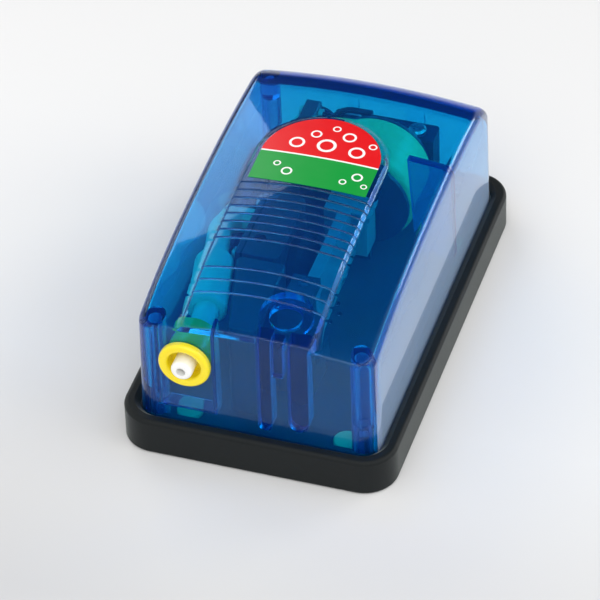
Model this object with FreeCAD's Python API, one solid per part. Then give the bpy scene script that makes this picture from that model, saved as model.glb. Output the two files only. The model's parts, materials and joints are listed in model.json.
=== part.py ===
import FreeCAD, Part
import math
import os
from FreeCAD import Vector

# Small single-outlet aquarium air pump. Millimetres, +Z up, outlet facing -Y, origin at the middle of the
# underside. A rubber boot holds a base tray, and a clear casing stands on the tray over the pump mechanism:
# a U core and coil at the rear drive a magnet on a swing arm, which works a diaphragm on a valve box.

# Boot
BOOT_WIDTH = 70.0
BOOT_LENGTH = 113.0
BOOT_HEIGHT = 10.3
BOOT_CORNER = 8.5
BOOT_FLOOR = 2.0
RIM_ROUND = 1.2
RIM_LIP_CHAMFER = 1.5
WINDOW_HALF = (19.0, 38.0)
WINDOW_CORNER = 6.0

# Base tray
TRAY_FLOOR = 2.2
DECK = BOOT_FLOOR + TRAY_FLOOR
UPSTAND_HEIGHT = 3.8
UPSTAND_THICK = 1.4
FILTER_Y = 0.0
FILTER_RADIUS = 9.0
INTAKE_RADIUS = 0.8
INTAKE_RING = 5.0
INTAKE_COUNT = 8
RIVETS = ((-19.8, -43.2), (20.6, -43.2), (-23.6, 33.0), (23.6, 33.0))
RIVET_RADIUS = 1.6
RIVET_HEAD_RADIUS = 3.3
RIVET_HEAD = 1.0

# Casing
CASING_HALF_WIDTH = 30.8
CASING_HALF_LENGTH = 52.3
CASING_CORNER = 5.0
DRAFT = 0.015
WALL = 1.9
FIT = 0.1
CREST_Y = 10.0
CREST_Z = 46.2
CROWN_RADIUS = 210.0
FRONT_ARC = 155.0
FRONT_ARC_FROM = -20.0
CREST_ARC = 400.0
REAR_ARC = 300.0
REAR_ROUND = 14.0
EDGE_ROUND = 1.2

# Raised panel with its finger grooves, and the label
PANEL_X = -1.8
PANEL_HALF_WIDTH = 17.3
PANEL_END_Y = 9.0
PANEL_RISE = 1.1
GROOVE_WIDTH = 0.6
GROOVE_DEPTH = 0.55
FINE_GROOVES = (-4.2, -2.87, 8)
WIDE_GROOVES = (-34.1, -3.9, 3)
LABEL_RADIUS = 15.2
LABEL_FRONT_Y = -2.0
LABEL_THICK = 0.12

# Ribs inside the casing: two on the back wall, a plate in front of the coil, a frame around the outlet
# bush, and a horseshoe under the roof whose ends run down the front wall as fins
REAR_RIBS = ((-7.5, -4.5), (8.0, 13.0))
PLATE_OUTLINE = ((17.9, 48.0), (32.0, 48.0), (32.0, 15.0), (20.0, 15.0))
PLATE_Y = 17.0
PLATE_THICK = 2.2
BUSH_RIBS = (-25.4, -11.0)
BUSH_RIB_THICK = 1.0
BUSH_RIB_LOW = 12.0
HORSESHOE_CENTRE = (4.2, -37.5)
HORSESHOE_RADII = (6.6, 4.0)
HORSESHOE_LOW = 34.5
FIN_WIDTHS = (2.6, 3.5)
FIN_LOW = (10.0, 11.5)
TAB_X = (3.2, 6.0)

# Screw bosses
BOSS_RADIUS = 2.6
BOSS_BORE = 1.2
BOSS_BORE_DEPTH = 12.0
BOSSES = ((-26.0, -47.2), (26.0, -47.2), (-26.0, 43.5), (26.0, 43.5))

# Outlet
OUTLET_X = -17.3
OUTLET_Z = 28.3
BUSH_RADIUS = 6.6
BUSH_NECK = 5.15
BUSH_PROUD = 1.8
BUSH_RECESS_RADIUS = 4.2
BUSH_RECESS_DEPTH = 3.6
BUSH_SLEEVE_RADIUS = 5.7
BUSH_INNER_LENGTH = 9.0
NOZZLE_RADIUS = 2.7
NOZZLE_SHANK = 2.4
NOZZLE_BORE = 1.2
NOZZLE_TIP_ROUND = 0.9
NOZZLE_PROUD = 3.7

# Cord gland in the back wall, (x, z)
GLAND = (-16.0, 20.0)
GLAND_NECK = 4.0
GLAND_BORE = 2.75

# Magnet circuit: a T-shaped core whose leg runs forward through a round coil to the magnet
CORE_LOW = 13.5
CORE_HIGH = 28.0
CORE_MID = (CORE_LOW + CORE_HIGH) / 2
CORE_X = 3.5
YOKE_HALF = 13.7
YOKE_Y = (43.0, 49.6)
LEG_HALF = 4.0
LEG_TIP_Y = 21.5
COIL_Y = (25.0, 42.0)
COIL_RADIUS = 13.8
FLANGE_RADIUS = 12.8
CORE_SCREW_OFFSET = 8.6

# Swing arm
ARM_X = 3.5
ARM_THICK = 3.0
ARM_LOW = 13.0
ARM_HIGH = 29.5
PIVOT_Y = -22.0
PIN_RADIUS = 1.5
HUB_RADIUS = 3.2
RUNNING_CLEARANCE = 0.05
MAGNET_Y = (13.6, 20.0)

# Valve box and diaphragm
VALVE_X = (-15.5, -6.0)
VALVE_Y = (-13.0, 11.0)
VALVE_TOP = 30.0
VALVE_WALL = 1.5
PARTITION_X = (-10.0, -8.5)
COVER_THICK = 1.5
GASKET_THICK = 0.5
DIAPHRAGM_Y = -1.0
DIAPHRAGM_Z = 18.5
DIAPHRAGM_RADIUS = 9.0
CHAMBER_RADIUS = 6.8
BOSS_STEP = 0.7
STUD_RADIUS = 1.2
PORT_OFFSET = 3.4
PORT_RADIUS = 1.3
PORT_Z = DIAPHRAGM_Z - 1.6
FLAP_THICK = 0.8
FLAP_GAP = 0.05
FLAP_HALF = 1.85
FLAP_HINGE_Z = DIAPHRAGM_Z + 2.2
FLAP_BAR_RADIUS = 0.7
EAR_HALF = 2.7

# Inner hose with its straight run and the sleeve on it, and the hose's spigot on the valve cover
HOSE_RADIUS = 3.1
HOSE_BORE = 2.0
HOSE_RUN = ((-25.2, -0.5, 26.5), (OUTLET_X, -36.3, OUTLET_Z))
SLEEVE_RADIUS = 5.0
SLEEVE_Y = (-33.5, -14.5)
SPIGOT_BORE = 1.1
SPIGOT_Y = 5.0
SPIGOT_Z = 24.5

# Leads and their crimped joints, middle of the joints as (x, y, z)
WIRE_RADIUS = 0.8
WIRE_JOINTS = (-12.5, 41.2, 30.6)
JOINT_RADIUS = 1.4
JOINT_SPACING = 1.9

# Silencer in front of the valve box
SILENCER_Y = (-40.0, VALVE_Y[0] - 0.6)

X_AXIS = Vector(1, 0, 0)
Y_AXIS = Vector(0, 1, 0)
Z_AXIS = Vector(0, 0, 1)


def save(name, shape):
    """Write one sub-part and print what it is."""
    shape.exportStep(f"parts/{name}.step")
    print(f"{name}: {len(shape.Solids)} solid(s), {shape.Volume:.1f} mm3, valid {shape.isValid()}")


def box(x, y, z):
    """Box from three (low, high) pairs."""
    return Part.makeBox(x[1] - x[0], y[1] - y[0], z[1] - z[0], Vector(x[0], y[0], z[0]))


def rod(radius, start, end):
    """Cylinder between two points."""
    way = Vector(*end) - Vector(*start)
    return Part.makeCylinder(radius, way.Length, Vector(*start), way)


def fuse(shapes):
    """One solid out of several that touch or overlap."""
    return shapes[0].multiFuse(shapes[1:]).removeSplitter()


def rounded_plan(x, y, radius, z):
    """Rectangle in plan with rounded corners, as a wire at height z."""
    edges = []
    corners = ((x[1], y[1], 0), (x[0], y[1], 90), (x[0], y[0], 180), (x[1], y[0], 270))
    centres = [
        Vector(cx + (-radius if cx == x[1] else radius), cy + (-radius if cy == y[1] else radius), z)
        for cx, cy, _ in corners
    ]
    arcs = [
        Part.makeCircle(radius, centre, Z_AXIS, corner[2], corner[2] + 90)
        for centre, corner in zip(centres, corners)
    ]
    for arc, following in zip(arcs, arcs[1:] + arcs[:1]):
        edges.append(arc)
        edges.append(Part.makeLine(arc.Vertexes[-1].Point, following.Vertexes[0].Point))
    return Part.Wire(edges)


def rounded_block(x, y, radius, z):
    """Upright block with rounded corners."""
    return Part.Face(rounded_plan(x, y, radius, z[0])).extrude(Vector(0, 0, z[1] - z[0]))


def drafted_block(inset, z, corner=CASING_CORNER):
    """The casing's plan leaning in with height at the sides and front, running on past the back wall."""
    half = [CASING_HALF_WIDTH - inset + DRAFT * (BOOT_HEIGHT - height) for height in z]
    front = [CASING_HALF_LENGTH - inset + DRAFT * (BOOT_HEIGHT - height) for height in z]
    behind = -CASING_HALF_LENGTH - 20
    block = Part.makeWedge(
        -half[0], z[0], behind, behind, -half[1], half[0], z[1], front[0], front[1], half[1]
    )
    block.rotate(Vector(0, 0, 0), X_AXIS, 90)
    uprights = [e for e in block.Edges if e.BoundBox.ZLength > 20 and e.BoundBox.YMax < 0]
    return block.makeFillet(corner - inset, uprights)


def rear_limit(inset):
    """Upright block whose rounded rear corners and flat back close the drafted block."""
    half = CASING_HALF_WIDTH - inset + 0.1
    return rounded_block((-half, half), (-60, CASING_HALF_LENGTH - inset), CASING_CORNER - inset, (0, 60))


def is_roof_edge(edge):
    """Whether an edge of the casing block runs along the top of its sides or its front."""
    reach = edge.BoundBox
    if reach.ZMin < 34 or reach.XLength > 55 and reach.YLength < 0.1 and reach.YMin > -45:
        return False
    at_front = reach.YMax < -46
    at_side = abs(edge.CenterOfMass.x) > 29 and reach.YMax < 45
    return at_front or at_side


def arc_height(centre_y, centre_z, radius, y):
    """Height of a circle in the YZ plane above y."""
    return centre_z + math.sqrt(radius ** 2 - (y - centre_y) ** 2)


def roof_profile(inset):
    """Side profile under the roof line: front arc, crest arc, rear arc and the rounded back edge."""
    crest_centre = (CREST_Y, CREST_Z - CREST_ARC)
    rear_centre = (CREST_Y, CREST_Z - REAR_ARC)
    slope_y = (FRONT_ARC_FROM - crest_centre[0]) / CREST_ARC
    join_z = arc_height(*crest_centre, CREST_ARC, FRONT_ARC_FROM)
    front_centre = (
        FRONT_ARC_FROM - FRONT_ARC * slope_y,
        join_z - FRONT_ARC * math.sqrt(1 - slope_y ** 2),
    )
    back = CASING_HALF_LENGTH
    round_centre_y = back - REAR_ROUND
    round_centre_z = arc_height(*rear_centre, REAR_ARC - REAR_ROUND, round_centre_y)

    def on(centre, radius, angle):
        return Vector(0, centre[0] + radius * math.cos(angle), centre[1] + radius * math.sin(angle))

    upright = math.pi / 2
    join_angle = math.acos(slope_y)
    front_angle = math.acos((-CASING_HALF_LENGTH - 6 - front_centre[0]) / FRONT_ARC)
    round_angle = math.atan2(round_centre_z - rear_centre[1], round_centre_y - rear_centre[0])
    spans = [
        (front_centre, FRONT_ARC - inset, front_angle, join_angle),
        (crest_centre, CREST_ARC - inset, join_angle, upright),
        (rear_centre, REAR_ARC - inset, upright, round_angle),
        ((round_centre_y, round_centre_z), REAR_ROUND - inset, round_angle, 0.0),
    ]
    edges = []
    for centre, radius, first, last in spans:
        middle = on(centre, radius, (first + last) / 2)
        edges.append(Part.Arc(on(centre, radius, first), middle, on(centre, radius, last)).toShape())
    front_top = on(*[spans[0][i] for i in range(3)])
    back_top = on(spans[3][0], spans[3][1], 0.0)
    floor = -5.0
    edges.append(Part.makeLine(back_top, Vector(0, back_top.y, floor)))
    edges.append(Part.makeLine(Vector(0, back_top.y, floor), Vector(0, front_top.y, floor)))
    edges.append(Part.makeLine(Vector(0, front_top.y, floor), front_top))
    return Part.Face(Part.Wire(edges))


def under_roof(inset):
    """Everything below the crowned roof: the side profile swung about the crown's axis."""
    half_angle = 11.0
    axis_point = Vector(0, 0, CREST_Z - CROWN_RADIUS)
    face = roof_profile(inset)
    face.rotate(axis_point, Y_AXIS, -half_angle)
    return face.revolve(axis_point, Y_AXIS, 2 * half_angle)


def dome_plan(half_width, front_y, z):
    """Panel or label outline: straight sides closed by a half circle at the rear."""
    left = PANEL_X - half_width
    right = PANEL_X + half_width
    arc = Part.makeCircle(half_width, Vector(PANEL_X, PANEL_END_Y, z[0]), Z_AXIS, 0, 180)
    corners = [
        Vector(left, PANEL_END_Y, z[0]),
        Vector(left, front_y, z[0]),
        Vector(right, front_y, z[0]),
        Vector(right, PANEL_END_Y, z[0]),
    ]
    sides = [Part.makeLine(a, b) for a, b in zip(corners, corners[1:])]
    return Part.Face(Part.Wire([arc] + sides)).extrude(Vector(0, 0, z[1] - z[0]))


def groove_rows():
    """The y of every finger groove, fine row first."""
    rows = []
    for start, pitch, count in (FINE_GROOVES, WIDE_GROOVES):
        rows += [start + pitch * i for i in range(count)]
    return rows


def hold_down_rib():
    """Horseshoe rib under the roof whose two ends run down behind the front wall as long fins."""
    centre = Vector(*HORSESHOE_CENTRE, 20)
    outer, inner = HORSESHOE_RADII
    ring = Part.makeCylinder(outer, 26, centre).cut(Part.makeCylinder(inner, 26, centre))
    ring = ring.common(box((-10, 20), (centre.y, -20), (HORSESHOE_LOW, 46)))
    fins = []
    relief = box((-10, 20), (-46, centre.y + 1), (0, HORSESHOE_LOW))
    fin_starts = (centre.x - outer, centre.x + inner - 0.9)
    for low_x, width, low_z in zip(fin_starts, FIN_WIDTHS, FIN_LOW):
        round_end = width / 2
        fin = box((low_x, low_x + width), (-49.5, centre.y + 0.1), (low_z + round_end, 46))
        toe_x, toe_z = low_x + round_end, low_z + round_end
        toe = rod(round_end, (toe_x, -49.5, toe_z), (toe_x, -46, toe_z))
        fins.append(fin.fuse(toe).cut(relief))
    tab = box(TAB_X, (-49.5, -47.6), (26, 46))
    return fins + [ring, tab]


def hanging_plate():
    """Plate across the right-hand side of the casing in front of the coil, hanging from the roof."""
    corners = [Vector(x, PLATE_Y, z) for x, z in PLATE_OUTLINE + PLATE_OUTLINE[:1]]
    return Part.Face(Part.makePolygon(corners)).extrude(Vector(0, PLATE_THICK, 0))


def bush_frame():
    """Two upright ribs and a sill on the front wall that box in the outlet bush's sleeve."""
    y = (-51.0, -46.5)
    uprights = [box((x, x + BUSH_RIB_THICK), y, (BUSH_RIB_LOW, 46)) for x in BUSH_RIBS]
    sill_x = (BUSH_RIBS[0], BUSH_RIBS[1] + BUSH_RIB_THICK)
    return uprights + [box(sill_x, y, (BUSH_RIB_LOW, BUSH_RIB_LOW + BUSH_RIB_THICK))]


def make_casing():
    """Clear casing: crowned shell, raised grooved panel, bosses, rear ribs and hold-down ribs."""
    blank = under_roof(0).common(drafted_block(0, (DECK, 52.0)))
    blank = blank.makeFillet(EDGE_ROUND, [e for e in blank.Edges if is_roof_edge(e)])
    outer = blank.common(rear_limit(0))
    inner = under_roof(WALL).common(drafted_block(WALL, (DECK - 1, 50.0))).common(rear_limit(WALL))
    panel_prism = dome_plan(PANEL_HALF_WIDTH, -60, (36.0, 52.0))
    panel = under_roof(-PANEL_RISE).common(panel_prism).common(drafted_block(0, (DECK, 52.0)))
    for y in groove_rows():
        slab = box((-25, 25), (y - GROOVE_WIDTH / 2, y + GROOVE_WIDTH / 2), (38, 52))
        panel = panel.cut(slab.cut(under_roof(GROOVE_DEPTH - PANEL_RISE)))
    shell = outer.fuse(panel).cut(inner)
    extras = []
    for x, y in BOSSES:
        extras.append(rod(BOSS_RADIUS, (x, y, DECK), (x, y, 48)))
    for x in REAR_RIBS:
        extras.append(box(x, (YOKE_Y[1] + 0.1, 51.5), (CORE_MID, 48)))
    extras.append(hanging_plate())
    extras += bush_frame()
    extras += hold_down_rib()
    middle = WALL / 2
    inside = under_roof(middle).common(drafted_block(middle, (DECK, 50.0))).common(rear_limit(middle))
    shell = fuse([shell] + [extra.common(inside) for extra in extras])
    for x, y in BOSSES:
        shell = shell.cut(rod(BOSS_BORE, (x, y, DECK - 1), (x, y, DECK + BOSS_BORE_DEPTH)))
    wall_y = -CASING_HALF_LENGTH
    outlet_ends = [(OUTLET_X, y, OUTLET_Z) for y in (wall_y - 3, wall_y + 6)]
    shell = shell.cut(rod(BUSH_NECK + 0.05, *outlet_ends))
    gland_x, gland_z = GLAND
    shell = shell.cut(rod(GLAND_NECK, (gland_x, -wall_y - 5, gland_z), (gland_x, -wall_y + 3, gland_z)))
    return shell


def make_boot():
    """Rubber boot: an open tray with a rounded rim and a window over the air intake."""
    half = (BOOT_WIDTH / 2, BOOT_LENGTH / 2)
    body = rounded_block((-half[0], half[0]), (-half[1], half[1]), BOOT_CORNER, (0, BOOT_HEIGHT))
    rim = [e for e in body.Edges if e.BoundBox.ZMin > BOOT_HEIGHT - 0.01]
    body = body.makeFillet(RIM_ROUND, rim)
    foot = [e for e in body.Edges if e.BoundBox.ZMax < 0.01]
    body = body.makeFillet(0.5, foot)
    lean = DRAFT * BOOT_HEIGHT
    inner_half = (CASING_HALF_WIDTH + lean + FIT, CASING_HALF_LENGTH + lean + FIT)
    pocket = rounded_block(
        (-inner_half[0], inner_half[0]),
        (-inner_half[1], inner_half[1]),
        CASING_CORNER + FIT,
        (BOOT_FLOOR, BOOT_HEIGHT + 1),
    )
    body = body.cut(pocket)
    lip = [e for e in body.Edges if e.BoundBox.ZMin > BOOT_HEIGHT - 0.01 and within(e, inner_half)]
    body = body.makeChamfer(RIM_LIP_CHAMFER, lip)
    window = rounded_block(
        (-WINDOW_HALF[0], WINDOW_HALF[0]),
        (-WINDOW_HALF[1], WINDOW_HALF[1]),
        WINDOW_CORNER,
        (-1, BOOT_FLOOR + 1),
    )
    body = body.cut(window)
    for x, y in RIVETS:
        body = body.cut(rod(RIVET_RADIUS, (x, y, -1), (x, y, BOOT_FLOOR + 1)))
        body = body.cut(rod(RIVET_HEAD_RADIUS - 0.4, (x, y, -1), (x, y, RIVET_HEAD)))
    return body


def make_rivets():
    """Four moulded rivets that hold the boot to the tray, each with a wide head on the tray's floor."""
    rivets = []
    for x, y in RIVETS:
        shank = rod(RIVET_RADIUS, (x, y, 0.3), (x, y, DECK + RIVET_HEAD))
        top = rod(RIVET_HEAD_RADIUS, (x, y, DECK), (x, y, DECK + RIVET_HEAD))
        top = top.makeChamfer(0.3, [e for e in top.Edges if e.BoundBox.ZMin > DECK + RIVET_HEAD - 0.01])
        foot = rod(RIVET_HEAD_RADIUS - 0.5, (x, y, 0.3), (x, y, RIVET_HEAD))
        rivets.append(fuse([shank, top, foot]))
    return Part.makeCompound(rivets)


def within(edge, half):
    """Whether an edge lies on or inside a centred rectangle."""
    reach = edge.BoundBox
    return reach.XMax < half[0] + 0.01 and reach.YMax < half[1] + 0.01


def screw(radius, length, head_radius, head_height):
    """Pan-head screw along +Z, its shank's tip at z = length and its head below z = 0."""
    shank = Part.makeCylinder(radius, length)
    head = Part.makeCylinder(head_radius, head_height, Vector(0, 0, -head_height))
    rim = [e for e in head.Edges if e.BoundBox.ZMax < -head_height + 0.01]
    head = head.makeChamfer(head_height * 0.4, rim)
    slot = box((-head_radius, head_radius), (-0.3, 0.3), (-head_height - 1, -head_height * 0.5))
    return fuse([shank, head]).cut(slot)


def placed(shape, point, way=Z_AXIS):
    """Copy of a shape built along +Z, turned to a direction and moved to a point."""
    turned = shape.copy()
    turned.Placement = FreeCAD.Placement(Vector(*point), FreeCAD.Rotation(Z_AXIS, way))
    return turned


def make_tray():
    """Base tray: floor, upstand inside the casing, window plug with intake holes, and screw seats."""
    half = (CASING_HALF_WIDTH, CASING_HALF_LENGTH)
    floor = rounded_block((-half[0], half[0]), (-half[1], half[1]), CASING_CORNER, (BOOT_FLOOR, DECK))
    gap = WALL + 0.15
    deep = gap + UPSTAND_THICK
    top = DECK + UPSTAND_HEIGHT
    ring_outer = rounded_block(
        (-half[0] + gap, half[0] - gap), (-half[1] + gap, half[1] - gap), CASING_CORNER - gap, (DECK, top)
    )
    ring_inner = rounded_block(
        (-half[0] + deep, half[0] - deep), (-half[1] + deep, half[1] - deep), 1.5, (DECK, top + 1)
    )
    upstand = ring_outer.cut(ring_inner)
    for x, y in BOSSES:
        upstand = upstand.cut(rod(BOSS_RADIUS + 0.2, (x, y, DECK), (x, y, DECK + 10)))
    plug_half = (WINDOW_HALF[0] - 0.3, WINDOW_HALF[1] - 0.3)
    plug = rounded_block(
        (-plug_half[0], plug_half[0]), (-plug_half[1], plug_half[1]), WINDOW_CORNER - 0.3, (0.6, BOOT_FLOOR)
    )
    tray = fuse([floor, upstand, plug])
    filter_seat = rod(FILTER_RADIUS + 0.15, (0, FILTER_Y, 0), (0, FILTER_Y, 3.0))
    tray = tray.cut(filter_seat)
    for x, y in intake_holes():
        tray = tray.cut(rod(INTAKE_RADIUS, (x, y, 0), (x, y, DECK + 1)))
    for x, y in BOSSES:
        tray = tray.cut(rod(1.6, (x, y, 0), (x, y, DECK + 1)))
        tray = tray.cut(rod(2.9, (x, y, 0), (x, y, BOOT_FLOOR + 1.2)))
    for x, y in RIVETS:
        tray = tray.cut(rod(RIVET_RADIUS, (x, y, 0), (x, y, DECK + 1)))
    posts = []
    for x, y in core_screw_places():
        posts.append(rod(2.8, (x, y, DECK), (x, y, CORE_LOW)))
    posts.append(box((CORE_X - 3.0, CORE_X + 3.0), (LEG_TIP_Y + 0.2, LEG_TIP_Y + 2.0), (DECK, CORE_LOW)))
    tray = fuse([tray] + posts)
    for x, y in core_screw_places():
        tray = tray.cut(rod(1.0, (x, y, DECK + 1), (x, y, CORE_LOW + 1)))
    return tray


def intake_holes():
    """Centres of the ring of intake holes over the felt."""
    places = [(0.0, FILTER_Y)]
    for i in range(INTAKE_COUNT):
        angle = 2 * math.pi * i / INTAKE_COUNT
        places.append((INTAKE_RING * math.cos(angle), FILTER_Y + INTAKE_RING * math.sin(angle)))
    return places


def core_screw_places():
    """Both core screws go through the yoke."""
    y = (YOKE_Y[0] + YOKE_Y[1]) / 2
    return ((CORE_X - CORE_SCREW_OFFSET, y), (CORE_X + CORE_SCREW_OFFSET, y))


def make_filter():
    """Felt disc under the intake holes and the slotted cap that holds it in the tray."""
    felt = rod(FILTER_RADIUS, (0, FILTER_Y, 1.4), (0, FILTER_Y, 2.95))
    cap = rod(FILTER_RADIUS + 0.1, (0, FILTER_Y, 0.4), (0, FILTER_Y, 1.35))
    for i in range(-2, 3):
        cap = cap.cut(box((-6, 6), (FILTER_Y + 2.6 * i - 0.5, FILTER_Y + 2.6 * i + 0.5), (0, 2)))
    return felt, cap


def make_label():
    """Thin label lying on the rear of the raised panel."""
    prism = dome_plan(LABEL_RADIUS, LABEL_FRONT_Y, (38.0, 52.0))
    return prism.common(under_roof(-PANEL_RISE - LABEL_THICK)).cut(under_roof(-PANEL_RISE))


def revolved_along_y(points, x, z):
    """Ring turned about an axis parallel to Y from (radius, y) points."""
    ring = Part.makePolygon([Vector(x + radius, y, z) for radius, y in points + points[:1]])
    return Part.Face(ring).revolve(Vector(x, 0, z), Y_AXIS, 360)


def make_bush():
    """Outlet bush: a rounded ring outside the front wall, a neck through it and a sleeve behind."""
    wall = -CASING_HALF_LENGTH - DRAFT * (BOOT_HEIGHT - OUTLET_Z)
    face = wall - BUSH_PROUD
    back = wall + BUSH_INNER_LENGTH
    points = [
        (NOZZLE_SHANK, face + BUSH_RECESS_DEPTH),
        (BUSH_RECESS_RADIUS, face + BUSH_RECESS_DEPTH),
        (BUSH_RECESS_RADIUS, face),
        (BUSH_RADIUS, face),
        (BUSH_RADIUS, wall - 0.12),
        (BUSH_NECK, wall - 0.12),
        (BUSH_NECK, wall + WALL + 0.3),
        (BUSH_SLEEVE_RADIUS, wall + WALL + 0.3),
        (BUSH_SLEEVE_RADIUS, back),
        (NOZZLE_SHANK, back),
    ]
    bush = revolved_along_y(points, OUTLET_X, OUTLET_Z)
    front_edges = [e for e in bush.Edges if e.BoundBox.YMax < face + 0.01]
    return bush.makeFillet(0.9, front_edges)


def make_nozzle():
    """Outlet nozzle: a rounded tip for the tubing, a thinner shank in the bush and a hose barb inside."""
    wall = -CASING_HALF_LENGTH - DRAFT * (BOOT_HEIGHT - OUTLET_Z)
    tip = wall - NOZZLE_PROUD
    shoulder = wall - BUSH_PROUD + BUSH_RECESS_DEPTH
    back = wall + BUSH_INNER_LENGTH
    points = [
        (NOZZLE_BORE, tip),
        (NOZZLE_RADIUS, tip),
        (NOZZLE_RADIUS, shoulder),
        (NOZZLE_SHANK, shoulder),
        (NOZZLE_SHANK, back),
        (NOZZLE_RADIUS + 0.8, back),
        (NOZZLE_RADIUS + 0.8, back + 1.0),
        (HOSE_BORE, back + 1.0),
        (HOSE_BORE, back + 4.2),
        (NOZZLE_BORE, back + 4.2),
    ]
    nozzle = revolved_along_y(points, OUTLET_X, OUTLET_Z)
    tip_edges = [e for e in nozzle.Edges if e.BoundBox.YMax < tip + 0.01]
    outer_edge = max(tip_edges, key=lambda e: e.BoundBox.ZLength)
    return nozzle.makeFillet(NOZZLE_TIP_ROUND, [outer_edge])


def tube_along(points, radius):
    """Round tube on straight runs joined by tangent arcs, each as large as its shorter run allows."""
    path = []
    here = Vector(*points[0])
    for before, corner, after in zip(points, points[1:], points[2:]):
        back = Vector(*before) - Vector(*corner)
        ahead = Vector(*after) - Vector(*corner)
        cut = 0.45 * min(back.Length, ahead.Length)
        half_turn = (math.pi - back.getAngle(ahead)) / 2
        bend = cut / math.tan(half_turn)
        back.normalize()
        ahead.normalize()
        bisector = back + ahead
        bisector.normalize()
        first = Vector(*corner) + back * cut
        last = Vector(*corner) + ahead * cut
        middle = Vector(*corner) + bisector * (bend / math.cos(half_turn) - bend)
        path.append(Part.makeLine(here, first))
        path.append(Part.Arc(first, middle, last).toShape())
        here = last
    path.append(Part.makeLine(here, Vector(*points[-1])))
    spine = Part.Wire(path)
    start = Vector(*points[0])
    ring = Part.Wire(Part.makeCircle(radius, start, Vector(*points[1]) - start))
    tube = spine.makePipeShell([ring], True, True)
    error = tube.Volume / (math.pi * radius ** 2 * spine.Length) - 1
    print(f"  tube length {spine.Length:.1f}, volume error {error:.4f}")
    return tube


def hose_route():
    """Centre line of the inner hose, from the valve cover's spigot along the left wall to the nozzle."""
    nozzle_back = -CASING_HALF_LENGTH + BUSH_INNER_LENGTH + 1.3
    spigot_root = VALVE_X[0] - GASKET_THICK - COVER_THICK - 0.3
    return [
        (spigot_root, SPIGOT_Y, SPIGOT_Z),
        (spigot_root - 4.6, SPIGOT_Y, SPIGOT_Z),
        *HOSE_RUN,
        (OUTLET_X, nozzle_back, OUTLET_Z),
    ]


def on_hose_run(y):
    """Point on the straight run of the hose."""
    start, end = HOSE_RUN
    share = (y - start[1]) / (end[1] - start[1])
    return tuple(a + (b - a) * share for a, b in zip(start, end))


def make_hose():
    """Inner hose, and the soft sleeve that quietens its straight run towards the outlet."""
    hose = tube_along(hose_route(), HOSE_RADIUS).cut(tube_along(hose_route(), HOSE_BORE))
    low_y, high_y = SLEEVE_Y
    sleeve = rod(SLEEVE_RADIUS, on_hose_run(low_y), on_hose_run(high_y))
    rims = [e for e in sleeve.Edges if e.BoundBox.YLength < 4]
    sleeve = sleeve.makeFillet(1.2, rims)
    bore = rod(HOSE_RADIUS + 0.05, on_hose_run(low_y - 1), on_hose_run(high_y + 1))
    return hose, sleeve.cut(bore)


def make_core():
    """Laminated T core: rear yoke and the leg towards the arm."""
    yoke = box((CORE_X - YOKE_HALF, CORE_X + YOKE_HALF), YOKE_Y, (CORE_LOW, CORE_HIGH))
    leg = box((CORE_X - LEG_HALF, CORE_X + LEG_HALF), (LEG_TIP_Y, YOKE_Y[0] + 0.5), (CORE_LOW, CORE_HIGH))
    core = fuse([yoke, leg])
    corners = [
        e for e in core.Edges
        if e.BoundBox.ZLength > 10 and e.BoundBox.YMin > YOKE_Y[1] - 0.1
    ]
    core = core.makeFillet(1.0, corners)
    for x, y in core_screw_places():
        core = core.cut(rod(1.3, (x, y, CORE_LOW - 1), (x, y, CORE_HIGH + 1)))
    return core


def make_coil():
    """Bobbin on the leg and the round taped winding on it."""
    middle = (CORE_X, CORE_MID)

    def drum(radius, y):
        return rod(radius, (middle[0], y[0], middle[1]), (middle[0], y[1], middle[1]))

    def sleeve(grow, y):
        half_x = LEG_HALF + grow
        half_z = (CORE_HIGH - CORE_LOW) / 2 + grow
        flat = rounded_plan((middle[0] - half_x, middle[0] + half_x), (-half_z, half_z), 1.2, 0)
        solid = Part.Face(flat).extrude(Vector(0, 0, y[1] - y[0]))
        solid.rotate(Vector(0, 0, 0), X_AXIS, 90)
        solid.translate(Vector(0, y[1], middle[1]))
        return solid

    low, high = COIL_Y
    flanges = [drum(FLANGE_RADIUS, (low - 1.2, low)), drum(FLANGE_RADIUS, (high, high + 0.9))]
    through = box(
        (middle[0] - LEG_HALF - 0.15, middle[0] + LEG_HALF + 0.15),
        (low - 5, high + 5),
        (CORE_LOW - 0.15, CORE_HIGH + 0.15),
    )
    bobbin = fuse([sleeve(1.2, (low - 1.2, high + 0.9))] + flanges).cut(through)
    winding = drum(COIL_RADIUS, (low + 0.05, high - 0.05))
    rims = [e for e in winding.Edges if e.BoundBox.YLength < 0.01]
    winding = winding.makeFillet(2.2, rims)
    winding = winding.cut(sleeve(1.25, (low - 2, high + 2)))
    return bobbin, winding


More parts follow.
